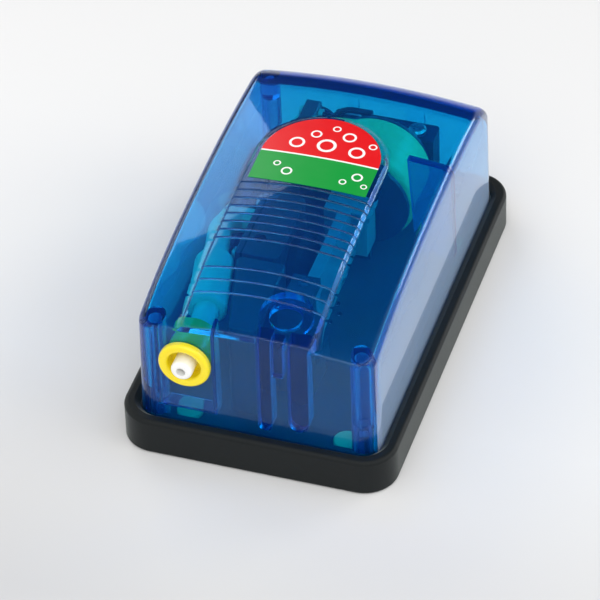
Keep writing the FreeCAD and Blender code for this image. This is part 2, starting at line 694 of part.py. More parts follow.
def make_arm():
    """Swing arm: hub on the pivot pin, tapered web with a diaphragm boss, and a magnet fork."""
    half = ARM_THICK / 2
    hub = rod(HUB_RADIUS, (ARM_X, PIVOT_Y, ARM_LOW), (ARM_X, PIVOT_Y, ARM_HIGH))
    web = box((ARM_X - half, ARM_X + half), (PIVOT_Y, MAGNET_Y[0] - 1.5), (ARM_LOW + 1.5, ARM_HIGH - 1.5))
    for y in (-12.5, 8.0):
        web = web.cut(rod(3.0, (ARM_X - 5, y, CORE_MID - 1), (ARM_X + 5, y, CORE_MID - 1)))
    work_line = (DIAPHRAGM_Y, DIAPHRAGM_Z)
    boss = rod(4.0, (ARM_X - half - BOSS_STEP, *work_line), (ARM_X + half, *work_line))
    fork = box(
        (ARM_X - 5.6, ARM_X + 5.6),
        (MAGNET_Y[0] - 2.0, MAGNET_Y[1] - 1.2),
        (CORE_MID - 6.6, CORE_MID + 6.6),
    )
    seat = box((ARM_X - 4.4, ARM_X + 4.4), (MAGNET_Y[0], MAGNET_Y[1] + 2), (CORE_MID - 5.4, CORE_MID + 5.4))
    arm = fuse([hub, web, boss, fork]).cut(seat)
    arm = arm.cut(rod(PIN_RADIUS + RUNNING_CLEARANCE, (ARM_X, PIVOT_Y, 0), (ARM_X, PIVOT_Y, 50)))
    arm = arm.cut(rod(STUD_RADIUS + 0.05, (ARM_X - 10, *work_line), (ARM_X + 10, *work_line)))
    magnet = box(
        (ARM_X - 4.35, ARM_X + 4.35),
        (MAGNET_Y[0] + 0.02, MAGNET_Y[1]),
        (CORE_MID - 5.35, CORE_MID + 5.35),
    )
    face_edges = [e for e in magnet.Edges if e.BoundBox.YMin > MAGNET_Y[1] - 0.1]
    return arm, magnet.makeChamfer(0.5, face_edges)


def make_pivot():
    """Pivot bracket with a lower and an upper ear, and the steel pin through both."""
    low = box((ARM_X - 4.5, ARM_X + 4.5), (PIVOT_Y - 8.0, PIVOT_Y + 4.0), (DECK, ARM_LOW - 0.4))
    back = box((ARM_X - 4.5, ARM_X + 4.5), (PIVOT_Y - 8.0, PIVOT_Y - 4.4), (DECK, ARM_HIGH + 2.9))
    top = box((ARM_X - 3.4, ARM_X + 3.4), (PIVOT_Y - 8.0, PIVOT_Y + 2.8), (ARM_HIGH + 0.4, ARM_HIGH + 2.9))
    bracket = fuse([low, back, top])
    pin = rod(PIN_RADIUS, (ARM_X, PIVOT_Y, ARM_LOW - 3.0), (ARM_X, PIVOT_Y, ARM_HIGH + 3.2))
    bracket = bracket.cut(rod(PIN_RADIUS, (ARM_X, PIVOT_Y, ARM_LOW - 3.0), (ARM_X, PIVOT_Y, 60)))
    return bracket, pin


def port_places():
    """Both ports in the partition: their y, the face their flap lies against and the way the flap opens."""
    return {
        "outlet": (DIAPHRAGM_Y + PORT_OFFSET, PARTITION_X[0], -1),
        "inlet": (DIAPHRAGM_Y - PORT_OFFSET, PARTITION_X[1], 1),
    }


def flap_axis_x(side):
    """Where the flap's hinge bar lies, clear of the partition by the flap's gap."""
    face, way = port_places()[side][1:]
    return face + way * (FLAP_GAP + FLAP_BAR_RADIUS)


def make_valve_box():
    """Valve box: two chambers on the cover side, a round pump chamber under the diaphragm, and two ports."""
    body = box(VALVE_X, VALVE_Y, (DECK, VALVE_TOP))
    uprights = [e for e in body.Edges if e.BoundBox.ZLength > 10 and e.BoundBox.XMin > VALVE_X[1] - 0.1]
    body = body.makeFillet(2.0, uprights)
    split = DIAPHRAGM_Y
    floor, roof = 9.0, VALVE_TOP - VALVE_WALL
    for y in ((VALVE_Y[0] + VALVE_WALL + 2.5, split - 0.6), (split + 0.6, VALVE_Y[1] - VALVE_WALL - 2.0)):
        body = body.cut(box((VALVE_X[0] - 1, PARTITION_X[0]), y, (floor, roof)))
    work_line = (DIAPHRAGM_Y, DIAPHRAGM_Z)
    chamber = rod(CHAMBER_RADIUS, (PARTITION_X[1], *work_line), (VALVE_X[1] + 1, *work_line))
    body = body.cut(chamber)
    ears = []
    for side, (y, face, way) in port_places().items():
        body = body.cut(rod(PORT_RADIUS, (PARTITION_X[0] - 1, y, PORT_Z), (PARTITION_X[1] + 1, y, PORT_Z)))
        axis_x = flap_axis_x(side)
        ear_x = sorted((face - 0.1 * way, face + 1.95 * way))
        ear_z = (FLAP_HINGE_Z - 1.2, FLAP_HINGE_Z + 1.2)
        bore_ends = [(axis_x, end, FLAP_HINGE_Z) for end in (y - EAR_HALF - 1, y + EAR_HALF + 1)]
        bore = rod(FLAP_BAR_RADIUS + RUNNING_CLEARANCE, *bore_ends)
        for ear_y in ((y - EAR_HALF, y - FLAP_HALF - 0.15), (y + FLAP_HALF + 0.15, y + EAR_HALF)):
            ears.append(box(ear_x, ear_y, ear_z).cut(bore))
    body = fuse([body] + ears)
    intake_y = split - 5.5
    body = body.cut(rod(1.5, (-12.8, intake_y, VALVE_TOP - 3), (-12.8, intake_y, VALVE_TOP + 1)))
    for y, z in valve_screw_places():
        body = body.cut(rod(1.0, (VALVE_X[0] - 1, y, z), (VALVE_X[0] + 5, y, z)))
    return body


def valve_screw_places():
    """Four cover screws, (y, z)."""
    return [(y, z) for y in (VALVE_Y[0] + 2.2, VALVE_Y[1] - 1.7) for z in (DECK + 2.4, VALVE_TOP - 2.4)]


def make_flap(side):
    """Rubber flap valve hanging from a round hinge bar over its port."""
    y, face, way = port_places()[side]
    x = sorted((face + way * FLAP_GAP, face + way * (FLAP_GAP + FLAP_THICK)))
    leaf = box(x, (y - FLAP_HALF, y + FLAP_HALF), (DIAPHRAGM_Z - 3.9, FLAP_HINGE_Z))
    corners = [e for e in leaf.Edges if e.BoundBox.XLength > 0.5 and e.BoundBox.ZMax < DIAPHRAGM_Z]
    leaf = leaf.makeFillet(1.2, corners)
    axis_x = flap_axis_x(side)
    bar_ends = [(axis_x, end, FLAP_HINGE_Z) for end in (y - EAR_HALF + 0.05, y + EAR_HALF - 0.05)]
    return fuse([leaf, rod(FLAP_BAR_RADIUS, *bar_ends)])


def make_valve_cover():
    """Gasket, cover with the hose spigot, and its four screws."""
    gasket_x = (VALVE_X[0] - GASKET_THICK, VALVE_X[0])
    cover_x = (gasket_x[0] - COVER_THICK, gasket_x[0])
    z = (DECK + 0.2, VALVE_TOP)
    opening_y = (VALVE_Y[0] + 4.0, VALVE_Y[1] - 3.5)
    opening = box((gasket_x[0] - 1, gasket_x[1] + 1), opening_y, (9.0, VALVE_TOP - VALVE_WALL))
    gasket = box(gasket_x, VALVE_Y, z).cut(opening)
    cover = box(cover_x, VALVE_Y, z)
    outer_edges = [e for e in cover.Edges if e.BoundBox.XMax < cover_x[0] + 0.01]
    cover = cover.makeChamfer(0.5, outer_edges)
    spigot = rod(HOSE_BORE, (cover_x[1], SPIGOT_Y, SPIGOT_Z), (cover_x[0] - 2.4, SPIGOT_Y, SPIGOT_Z))
    cover = fuse([cover, spigot])
    spigot_line = (SPIGOT_Y, SPIGOT_Z)
    cover = cover.cut(rod(SPIGOT_BORE, (cover_x[1] + 1, *spigot_line), (cover_x[0] - 6.0, *spigot_line)))
    screws = []
    for y, zed in valve_screw_places():
        hole = rod(1.0, (gasket_x[1] + 1, y, zed), (cover_x[0] - 1, y, zed))
        cover = cover.cut(hole)
        gasket = gasket.cut(hole)
        screws.append(placed(screw(0.95, 6.0, 1.7, 1.1), (cover_x[0], y, zed), X_AXIS))
    return gasket, cover, Part.makeCompound(screws)


def make_diaphragm():
    """Rubber cup: a bead seated on the valve box, a rolled wall and a thick middle against the arm."""
    seat = VALVE_X[1]
    boss_face = ARM_X - ARM_THICK / 2 - BOSS_STEP
    pad = boss_face - 1.0
    points = [
        (0.0, pad - 1.6),
        (5.0, pad - 1.6),
        (7.3, seat + 2.6),
        (7.3, seat),
        (DIAPHRAGM_RADIUS, seat),
        (DIAPHRAGM_RADIUS, seat + 2.2),
        (8.4, seat + 3.4),
        (5.6, pad),
        (0.0, pad),
    ]
    ring = Part.makePolygon([Vector(x, DIAPHRAGM_Y + r, DIAPHRAGM_Z) for r, x in points + points[:1]])
    cup = Part.Face(ring).revolve(Vector(0, DIAPHRAGM_Y, DIAPHRAGM_Z), X_AXIS, 360)
    centre = (DIAPHRAGM_Y, DIAPHRAGM_Z)
    cup = cup.cut(rod(STUD_RADIUS + 0.05, (pad - 5, *centre), (pad + 1, *centre)))
    plate = rod(3.8, (pad, *centre), (boss_face, *centre))
    plate = plate.cut(rod(STUD_RADIUS + 0.05, (pad - 1, *centre), (boss_face + 1, *centre)))
    washer = rod(3.2, (pad - 2.2, *centre), (pad - 1.6, *centre))
    stud = rod(STUD_RADIUS, (pad - 2.2, *centre), (ARM_X + ARM_THICK / 2 + 2.2, *centre))
    nut_x = ARM_X + ARM_THICK / 2
    nut = placed(Part.Face(Part.makePolygon([
        Vector(2.4 * math.cos(math.pi * k / 3), 2.4 * math.sin(math.pi * k / 3), 0) for k in range(7)
    ])).extrude(Vector(0, 0, 1.6)), (nut_x, *centre), X_AXIS)
    nut = nut.cut(rod(STUD_RADIUS, (nut_x - 1, *centre), (nut_x + 3, *centre)))
    return cup, plate, fuse([washer, stud]), nut


def make_silencer():
    """Silencer chamber in front of the valve box, narrowing to the front, with its lid."""
    low_y, high_y = SILENCER_Y
    outline = [(-16.5, high_y), (-10.2, low_y), (-3.6, low_y), (-3.6, high_y)]
    plan = Part.Face(Part.makePolygon([Vector(x, y, DECK) for x, y in outline + outline[:1]]))
    body = plan.extrude(Vector(0, 0, VALVE_TOP - 2.0 - DECK))
    uprights = [e for e in body.Edges if e.BoundBox.ZLength > 10]
    body = body.makeFillet(1.5, uprights)
    inner_wire = plan.OuterWire.makeOffset2D(-1.5)
    inner_wire.translate(Vector(0, 0, 1.5))
    inner = Part.Face(inner_wire).extrude(Vector(0, 0, VALVE_TOP))
    lid = plan.extrude(Vector(0, 0, 1.8))
    lid = lid.makeFillet(1.5, [e for e in lid.Edges if e.BoundBox.ZLength > 1])
    lid.translate(Vector(0, 0, VALVE_TOP - 2.0 - DECK))
    lid_rim = [e for e in lid.Edges if e.BoundBox.ZMin > VALVE_TOP - 0.3]
    return body.cut(inner), lid.makeChamfer(0.4, lid_rim)


def make_gland():
    """Rubber gland in the back wall, bored for the lead."""
    x, z = GLAND
    wall = CASING_HALF_LENGTH
    points = [
        (GLAND_BORE, wall - WALL - 3.5),
        (GLAND_NECK + 1.4, wall - WALL - 3.5),
        (GLAND_NECK + 1.4, wall - WALL - 0.1),
        (GLAND_NECK - 0.05, wall - WALL - 0.1),
        (GLAND_NECK - 0.05, wall + 0.1),
        (GLAND_NECK + 1.2, wall + 0.1),
        (GLAND_NECK + 0.4, wall + 2.0),
        (GLAND_BORE, wall + 2.0),
    ]
    return revolved_along_y(points, x, z)


def make_wires():
    """Two leads from the bobbin over the yoke to crimped joints held by a clamp in front of the gland."""
    joint_x, joint_y, joint_z = WIRE_JOINTS
    lie_y = COIL_Y[1] + 0.9 + WIRE_RADIUS + 0.2
    front_y = joint_y - JOINT_SPACING
    rear_y = joint_y + JOINT_SPACING
    front_route = [
        (CORE_X - 2.5, lie_y, joint_z + 2.6),
        (joint_x + 5.5, lie_y, joint_z + 2.4),
        (joint_x + 2.5, front_y, joint_z),
        (joint_x + 0.5, front_y, joint_z),
    ]
    rear_route = [
        (CORE_X - 2.5, lie_y, joint_z - 0.1),
        (joint_x + 7.0, lie_y, joint_z - 0.1),
        (joint_x + 4.0, rear_y, joint_z),
        (joint_x + 0.5, rear_y, joint_z),
    ]
    wires = [tube_along(route, WIRE_RADIUS) for route in (front_route, rear_route)]
    joints = []
    for y in (front_y, rear_y):
        joints.append(rod(JOINT_RADIUS, (joint_x - 5.5, y, joint_z), (joint_x + 0.5, y, joint_z)))
    return Part.makeCompound(wires), Part.makeCompound(joints)


def make_clamp():
    """Clamp post on the tray with grooves for both joints, and the bar screwed down over them."""
    x, y, z = WIRE_JOINTS
    half_y = JOINT_SPACING + JOINT_RADIUS + 1.0
    span = (x - 4.5, x - 0.5)
    post = box(span, (y - half_y, y + half_y), (DECK, z - 0.2))
    bar = box(span, (y - half_y, y + half_y), (z + 0.2, z + JOINT_RADIUS + 1.0))
    bar_rim = [e for e in bar.Edges if e.BoundBox.ZMin > z + JOINT_RADIUS + 0.9]
    bar = bar.makeChamfer(0.4, bar_rim)
    for side in (-1, 1):
        groove_y = y + JOINT_SPACING * side
        groove = rod(JOINT_RADIUS, (x - 9, groove_y, z), (x + 3, groove_y, z))
        post = post.cut(groove)
        bar = bar.cut(groove)
    return post, bar


def main():
    os.makedirs("parts", exist_ok=True)
    save("rubber_boot", make_boot())
    save("base_tray", make_tray())
    save("top_casing", make_casing())
    boss_screws = [placed(screw(1.15, 9.5, 2.7, 1.1), (x, y, BOOT_FLOOR + 1.2)) for x, y in BOSSES]
    save("casing_screws", Part.makeCompound(boss_screws))
    save("boot_rivets", make_rivets())
    save("label", make_label())
    felt, cap = make_filter()
    save("intake_felt", felt)
    save("filter_cap", cap)
    save("outlet_bush", make_bush())
    save("outlet_nozzle", make_nozzle())
    hose, sleeve = make_hose()
    save("air_hose", hose)
    save("hose_sleeve", sleeve)
    save("magnet_core", make_core())
    bobbin, winding = make_coil()
    save("coil_bobbin", bobbin)
    save("coil_winding", winding)
    places = [(x, y, CORE_HIGH) for x, y in core_screw_places()]
    core_screws = [placed(screw(1.0, CORE_HIGH - DECK - 2.5, 2.3, 1.3), place, -Z_AXIS) for place in places]
    save("core_screws", Part.makeCompound(core_screws))
    arm, magnet = make_arm()
    save("swing_arm", arm)
    save("arm_magnet", magnet)
    bracket, pin = make_pivot()
    save("pivot_bracket", bracket)
    save("pivot_pin", pin)
    save("valve_box", make_valve_box())
    gasket, cover, screws = make_valve_cover()
    save("valve_gasket", gasket)
    save("valve_cover", cover)
    save("valve_screws", screws)
    for side in ("inlet", "outlet"):
        save(f"{side}_flap", make_flap(side))
    cup, plate, stud, nut = make_diaphragm()
    save("diaphragm", cup)
    save("diaphragm_plate", plate)
    save("diaphragm_stud", stud)
    save("stud_nut", nut)
    silencer, lid = make_silencer()
    save("silencer_box", silencer)
    save("silencer_lid", lid)
    save("cord_gland", make_gland())
    wires, joints = make_wires()
    post, bar = make_clamp()
    save("clamp_post", post)
    save("clamp_bar", bar)
    save("lead_wires", wires)
    save("wire_joints", joints)


main()
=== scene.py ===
import json
import math

import bmesh
import bpy
import numpy as np
from mathutils import Matrix, Vector


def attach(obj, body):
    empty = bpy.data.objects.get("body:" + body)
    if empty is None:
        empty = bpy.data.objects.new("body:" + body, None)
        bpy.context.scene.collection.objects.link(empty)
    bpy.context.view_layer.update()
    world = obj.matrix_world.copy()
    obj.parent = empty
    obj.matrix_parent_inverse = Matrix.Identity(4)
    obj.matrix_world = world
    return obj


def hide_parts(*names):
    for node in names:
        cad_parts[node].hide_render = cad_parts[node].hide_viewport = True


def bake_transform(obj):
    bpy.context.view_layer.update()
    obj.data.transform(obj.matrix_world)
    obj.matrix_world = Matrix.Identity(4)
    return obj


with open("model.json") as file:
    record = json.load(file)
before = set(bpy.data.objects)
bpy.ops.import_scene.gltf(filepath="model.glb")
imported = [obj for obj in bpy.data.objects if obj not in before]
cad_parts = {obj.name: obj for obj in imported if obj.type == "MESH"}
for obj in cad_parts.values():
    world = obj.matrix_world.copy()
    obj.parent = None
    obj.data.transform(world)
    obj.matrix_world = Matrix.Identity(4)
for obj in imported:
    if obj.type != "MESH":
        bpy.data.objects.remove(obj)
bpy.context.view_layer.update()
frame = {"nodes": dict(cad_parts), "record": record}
cadNodes = frame["nodes"]
scene = bpy.context.scene
mm = 0.001
print("frame loaded,", len(cadNodes), "nodes")


class Value:  # a socket that can stand in a sum
    def __init__(self, finish, socket):
        self.finish = finish
        self.socket = socket

    def maths(self, operation, *values):
        return self.finish.node("Math", {"operation": operation}, *values)

    def __add__(self, other):
        return self.maths("ADD", self, other)

    def __radd__(self, other):
        return self.maths("ADD", other, self)

    def __sub__(self, other):
        return self.maths("SUBTRACT", self, other)

    def __rsub__(self, other):
        return self.maths("SUBTRACT", other, self)

    def __mul__(self, other):
        return self.maths("MULTIPLY", self, other)

    def __rmul__(self, other):
        return self.maths("MULTIPLY", other, self)

    def __abs__(self):
        return self.maths("ABSOLUTE", self)

    def __gt__(self, other):
        return self.maths("GREATER_THAN", self, other)

    def __lt__(self, other):
        return self.maths("LESS_THAN", self, other)

    def __pow__(self, other):
        return self.maths("POWER", self, other)

    def fraction(self):  # what is left after the whole turns
        return self.maths("FRACT", self)


class Finish:  # one material, or the room's light, and its nodes
    def __init__(self, name, constants, holder=None, shaderName="Principled BSDF"):
        self.material = holder or bpy.data.materials.new(name)
        self.material.use_nodes = True
        self.tree = self.material.node_tree
        self.shader = self.tree.nodes[shaderName]
        for socketName, constant in constants.items():
            self.feed(self.shader.inputs[socketName], constant)

    def node(self, kind, settings, *inputs, output=0, **named):
        made = self.tree.nodes.new("ShaderNode" + kind)
        for key, setting in settings.items():
            if key == "stops":
                ramp = made.color_ramp
                while len(ramp.elements) < len(setting):
                    ramp.elements.new(1.0)
                for element, (place, colour) in zip(ramp.elements, setting):
                    element.position = place
                    element.color = (*colour, 1.0)
            else:
                setattr(made, key, setting)
        for place, entry in list(enumerate(inputs)) + list(named.items()):
            self.feed(made.inputs[place], entry)
        return Value(self, made.outputs[output])

    def feed(self, socket, entry):  # a link, a number or a colour; None leaves the socket as it is
        if isinstance(entry, Value):
            self.tree.links.new(entry.socket, socket)
        elif entry is not None:
            socket.default_value = (*entry, 1.0) if socket.type == "RGBA" else entry

    def drive(self, **links):  # what changes over the surface
        for name, value in links.items():
            self.feed(self.shader.inputs[name.replace("_", " ")], value)
        return self

    def axes(self, way="Object"):
        split = self.node("SeparateXYZ", {}, self.node("TexCoord", {}, output=way))
        return [Value(self, socket) for socket in split.socket.node.outputs]

    def noise(self, size, detail=3.0, rough=0.5):  # size of the blots in mm
        place = self.node("TexCoord", {}, output="Object")
        return self.node("TexNoise", {}, Vector=place, Scale=1 / (size * mm), Detail=detail, Roughness=rough)

    def mix(self, share, first, second):  # two colours: the factor is socket 0, the colours are 6 and 7
        return self.node("Mix", {"data_type": "RGBA"}, share, *[None] * 5, first, second, output=2)

    def bump(self, height, strength, depth):  # depth in mm
        return self.node("Bump", {}, Strength=strength, Distance=depth * mm, Height=height)


# one moulded or metal finish: colour blotches, roughness spread and grain come from the look
def plainFinish(name, look):
    constants = {"Metallic": look.get("metal", 0.0), "Coat Weight": look.get("coat", 0.0)}
    finish = Finish(name, constants)
    blots = finish.noise(look["blotSize"])
    colour = finish.mix(blots, look["dark"], look["light"])
    low, high = look["rough"]
    spread = finish.noise(look["blotSize"] * 0.37) * (high - low) + low
    grain = finish.noise(look["grain"], 4.0)
    normal = finish.bump(grain, look["grainStrength"], look["grainDepth"])
    return finish.drive(Base_Color=colour, Roughness=spread, Normal=normal).material


looks = {
    "black_plastic": {"dark": (0.055, 0.055, 0.058), "light": (0.085, 0.085, 0.09), "rough": (0.35, 0.5),
                      "blotSize": 9.0, "grain": 0.5, "grainStrength": 0.3, "grainDepth": 0.1},
    "zinc": {"dark": (0.5, 0.5, 0.48), "light": (0.75, 0.75, 0.72), "rough": (0.2, 0.4), "metal": 1.0,
             "blotSize": 2.0, "grain": 0.4, "grainStrength": 0.2, "grainDepth": 0.05},
    "felt": {"dark": (0.6, 0.6, 0.56), "light": (0.85, 0.85, 0.8), "rough": (0.85, 0.98),
             "blotSize": 1.5, "grain": 0.25, "grainStrength": 0.9, "grainDepth": 0.2},
    "yellow_plastic": {"dark": (1.0, 0.76, 0.0), "light": (1.0, 0.84, 0.015), "rough": (0.18, 0.28),
                       "coat": 0.3, "blotSize": 7.0, "grain": 1.4, "grainStrength": 0.12, "grainDepth": 0.05},
    "white_plastic": {"dark": (0.93, 0.92, 0.88), "light": (0.98, 0.98, 0.96), "rough": (0.25, 0.38),
                      "blotSize": 6.0, "grain": 0.8, "grainStrength": 0.15, "grainDepth": 0.05},
    "hose_rubber": {"dark": (0.72, 0.93, 0.60), "light": (0.82, 0.98, 0.70), "rough": (0.35, 0.5),
                    "blotSize": 8.0, "grain": 0.6, "grainStrength": 0.2, "grainDepth": 0.06},
    "pale_plastic": {"dark": (0.50, 0.78, 0.34), "light": (0.60, 0.86, 0.42), "rough": (0.4, 0.55),
                     "blotSize": 8.0, "grain": 0.6, "grainStrength": 0.2, "grainDepth": 0.06},
    "arm_plastic": {"dark": (0.34, 0.35, 0.33), "light": (0.46, 0.47, 0.44), "rough": (0.35, 0.5),
                    "blotSize": 8.0, "grain": 0.6, "grainStrength": 0.2, "grainDepth": 0.06},
    "ferrite": {"dark": (0.025, 0.025, 0.028), "light": (0.07, 0.07, 0.075), "rough": (0.5, 0.7),
                "blotSize": 1.2, "grain": 0.3, "grainStrength": 0.4, "grainDepth": 0.08},
    "bright_steel": {"dark": (0.6, 0.6, 0.6), "light": (0.8, 0.8, 0.8), "rough": (0.15, 0.3), "metal": 1.0,
                     "blotSize": 3.0, "grain": 0.3, "grainStrength": 0.1, "grainDepth": 0.03},
    "black_rubber": {"dark": (0.01, 0.01, 0.01), "light": (0.025, 0.025, 0.025), "rough": (0.55, 0.75),
                     "blotSize": 5.0, "grain": 0.4, "grainStrength": 0.35, "grainDepth": 0.08},
    "wire_cover": {"dark": (0.012, 0.012, 0.014), "light": (0.03, 0.03, 0.035), "rough": (0.3, 0.45),
                   "blotSize": 4.0, "grain": 0.5, "grainStrength": 0.15, "grainDepth": 0.04},
    "joint_sleeve": {"dark": (0.3, 0.75, 0.55), "light": (0.45, 0.85, 0.65), "rough": (0.25, 0.4),
                     "blotSize": 2.0, "grain": 0.5, "grainStrength": 0.2, "grainDepth": 0.04},
}


bootLook = {
    "dark": (0.003, 0.0048, 0.0056), "light": (0.0095, 0.0125, 0.0135), "rough": (0.42, 0.56),
    "cloud": 14.0, "grain": 0.35, "speck": 0.6, "speckFrom": 0.63, "grainStrength": 0.45, "grainDepth": 0.12,
}


# moulded rubber: fine spark-eroded grain, faint cloudy wear, drier and paler on the grain's tops
def bootFinish():
    look = bootLook
    finish = Finish("boot_rubber_look", {
        "Specular IOR Level": 0.2, "Sheen Weight": 0.3, "Sheen Roughness": 0.3,
        "Sheen Tint": (0.9, 1.0, 0.95),
    })
    cloud = finish.noise(look["cloud"], 5.0, 0.6)
    grain = finish.noise(look["grain"], 4.0, 0.65)
    speck = (finish.noise(look["speck"], 2.0) > look["speckFrom"]) * 0.25
    colour = finish.mix(cloud * 0.75 + speck, look["dark"], look["light"])
    low, high = look["rough"]
    normal = finish.bump(grain, look["grainStrength"], look["grainDepth"])
    return finish.drive(Base_Color=colour, Roughness=cloud * (high - low) + low, Normal=normal).material


casingLook = {
    "tint": (0.96, 0.98, 1.0), "bend": 1.49, "rough": 0.015, "mirror": (0.4, 0.62, 0.85),
    "gloss": 0.15, "glossRough": 0.28,
    "body": (0.0, 0.17, 0.70), "haze": 0.075,  # the milky part, everywhere
    # pale milky colour and share on the side walls: painted reflection of the bright floor
    "sideReflectionColour": (0.70, 0.80, 0.90), "sideReflectionShare": 0.25, "sideTop": 46.0,
    "plateBody": (0.0, 0.44, 0.62), "plateHaze": 0.42,
    "plateZone": ((17.6, 27.5), (16.9, 19.3), (-1.0, 43.0)),
    "lamp": (0.40, 0.94, 0.965),  # what one surface lets through of a lamp
    "depth": (0.06, 0.87, 0.968), "density": 1300.0,
}


# clear tinted plastic: it bends what is seen through it, a little of it is milky, and lamps shine through.
# The side walls are milkier and paler, most at their foot, by 1 - 0.45 (z / sideTop)^2: painted reflection of
# the bright floor. The hanging plate is milkier too
def casingFinish():
    look = casingLook
    finish = Finish("clear_blue_look", {
        "Base Color": look["tint"], "Transmission Weight": 1.0, "IOR": look["bend"],
        "Roughness": look["rough"], "Coat Weight": look["gloss"], "Coat Roughness": look["glossRough"],
        "Specular Tint": look["mirror"],
    })
    finish.drive(Normal=finish.bump(finish.noise(18.0, 2.0), 0.05, 0.3))
    x, y, z = finish.axes()
    height = z * (1 / (look["sideTop"] * mm))
    # painted reflection: walls whose normal points along x get a pale milky layer, most at the foot
    sideReflection = (abs(finish.axes("Normal")[0]) > 0.9) * (1.0 - height * height * 0.45)
    plate = 1.0
    for axis, (low, high) in zip((x, y, z), look["plateZone"]):
        plate = (axis > low * mm) * (axis < high * mm) * plate
    body = finish.mix(plate, finish.mix(sideReflection, look["body"], look["sideReflectionColour"]), look["plateBody"])
    milky = finish.node("BsdfPrincipled", {}, **{"Base Color": body, "Roughness": 0.12})
    share = finish.noise(12.0) * 0.06 + (look["haze"] - 0.03)
    share = share + sideReflection * look["sideReflectionShare"] + plate * look["plateHaze"]
    solid = finish.node("MixShader", {}, share, Value(finish, finish.shader.outputs[0]), milky)
    clear = finish.node("BsdfTransparent", {}, look["lamp"])
    shadow = finish.node("LightPath", {}, output="Is Shadow Ray")
    end = finish.tree.nodes["Material Output"]
    finish.feed(end.inputs["Surface"], finish.node("MixShader", {}, shadow, solid, clear))
    finish.feed(end.inputs["Volume"], finish.node("VolumeAbsorption", {}, look["depth"], look["density"]))
    return finish.material


labelLook = {
    "red": (0.74, 0.0, 0.004), "green": (0.0, 0.31, 0.04), "white": (0.9, 0.9, 0.88),
    "faded": (0.6, 0.6, 0.6),
    "splitY": 8.8, "lineWidth": 0.26, "ringShare": 0.16, "ringWidth": 0.05,
    "bubbles": [  # x, y and radius
        (-9.0, 13.2, 1.7), (-5.2, 17.4, 1.2), (-1.4, 13.6, 2.1), (3.2, 18.2, 1.5), (6.6, 13.0, 1.8),
        (-0.8, 20.6, 0.9), (9.8, 16.4, 0.9), (-11.4, 4.4, 0.8), (-8.2, 2.0, 1.2), (9.4, 4.2, 1.2),
        (6.4, 1.6, 0.8), (11.9, 1.4, 0.7),
    ],
}


# printed film: a red dome over a green band, a white line between them and plain white rings as bubbles, each
# ring where | distance from its middle - radius | is under half its line's width
def labelFinish():
    look = labelLook
    finish = Finish("label_look", {
        "Roughness": 0.3, "Coat Weight": 0.08, "Coat Roughness": 0.15, "Specular IOR Level": 0.3,
    })
    x, y, z = finish.axes()
    ink = finish.mix(y > look["splitY"] * mm, look["green"], look["red"])
    white = abs(y - look["splitY"] * mm) < look["lineWidth"] * mm
    for bubbleX, bubbleY, size in look["bubbles"]:
        far = ((x - bubbleX * mm) ** 2.0 + (y - bubbleY * mm) ** 2.0) ** 0.5
        ring = abs(far - size * mm) < look["ringShare"] * size * mm + look["ringWidth"] * mm
        white = white.maths("MAXIMUM", white, ring)
    inked = finish.mix(white, ink, look["white"])
    colour = finish.mix(finish.noise(5.0) * 0.03, inked, look["faded"])
    normal = finish.bump(finish.noise(2.2), 0.12, 0.03)
    return finish.drive(Base_Color=colour, Normal=normal).material


tapeLook = {"dark": (0.80, 0.84, 0.22), "light": (0.92, 0.98, 0.36), "wrap": 4.4, "edge": 0.08,
            "wander": 9.0, "wanderShare": 0.9, "cloud": 3.0}


# wound polyester tape: overlapping wraps a few millimetres wide, slightly wavy, with trapped air paler
def tapeFinish():
    look = tapeLook
    finish = Finish("coil_tape_look", {"Coat Weight": 0.2, "Coat Roughness": 0.15})
    x, y, z = finish.axes()
    turn = (y * (1 / (look["wrap"] * mm)) + finish.noise(look["wander"]) * look["wanderShare"]).fraction()
    cloud = finish.noise(look["cloud"], 4.0)
    share = cloud * 0.7 + (turn < look["edge"]) * 0.3
    colour = finish.mix(share, look["light"], look["dark"])
    normal = finish.bump(turn + cloud * 0.25, 0.5, 0.12)
    return finish.drive(Base_Color=colour, Roughness=cloud * 0.2 + 0.4, Normal=normal).material


coreLook = {"dark": (0.012, 0.012, 0.014), "light": (0.06, 0.06, 0.065),
            "sheet": 0.5, "gap": 0.22, "cloud": 4.0}


# stamped steel sheets under black varnish: a line between every two sheets and run varnish
def coreFinish():
    look = coreLook
    finish = Finish("core_steel_look", {"Metallic": 0.3})
    x, y, z = finish.axes()
    gap = (z * (1 / (look["sheet"] * mm))).fraction() < look["gap"]
    cloud = finish.noise(look["cloud"], 4.0)
    colour = finish.mix(cloud * 0.8 + gap * -0.5, look["dark"], look["light"])
    normal = finish.bump(1.0 - gap + cloud * 0.3, 0.6, 0.1)
    return finish.drive(Base_Color=colour, Roughness=cloud * 0.3 + 0.3, Normal=normal).material


finishes = {slot: plainFinish(slot + "_look", look) for slot, look in looks.items()}
finishes["boot_rubber"] = bootFinish()
finishes["clear_blue"] = casingFinish()
finishes["label_film"] = labelFinish()
finishes["coil_tape"] = tapeFinish()
finishes["core_steel"] = coreFinish()
slotOf = {part["node"]: part["material_slot"] for part in frame["record"]["subparts"]}
for nodeName, nodeObject in cadNodes.items():
    nodeObject.data.materials.clear()
    nodeObject.data.materials.append(finishes[slotOf[nodeName]])
print("finishes made:", len(finishes))


# a smooth-shaded mesh from points in mm, in the finish of its slot
def addPiece(name, points, faces, slot):
    mesh = bpy.data.meshes.new(name)
    mesh.from_pydata((np.asarray(points, float) * mm).tolist(), [], np.asarray(faces).tolist())
    mesh.update()
    mesh.validate()
    piece = bpy.data.objects.new(name, mesh)
    scene.collection.objects.link(piece)
    mesh.materials.append(finishes[slot])
    mesh.shade_smooth()
    return piece


# quads between the neighbours of a grid of point numbers
def gridFaces(index):
    return np.stack([index[:-1, :-1], index[:-1, 1:], index[1:, 1:], index[1:, :-1]], -1).reshape(-1, 4)


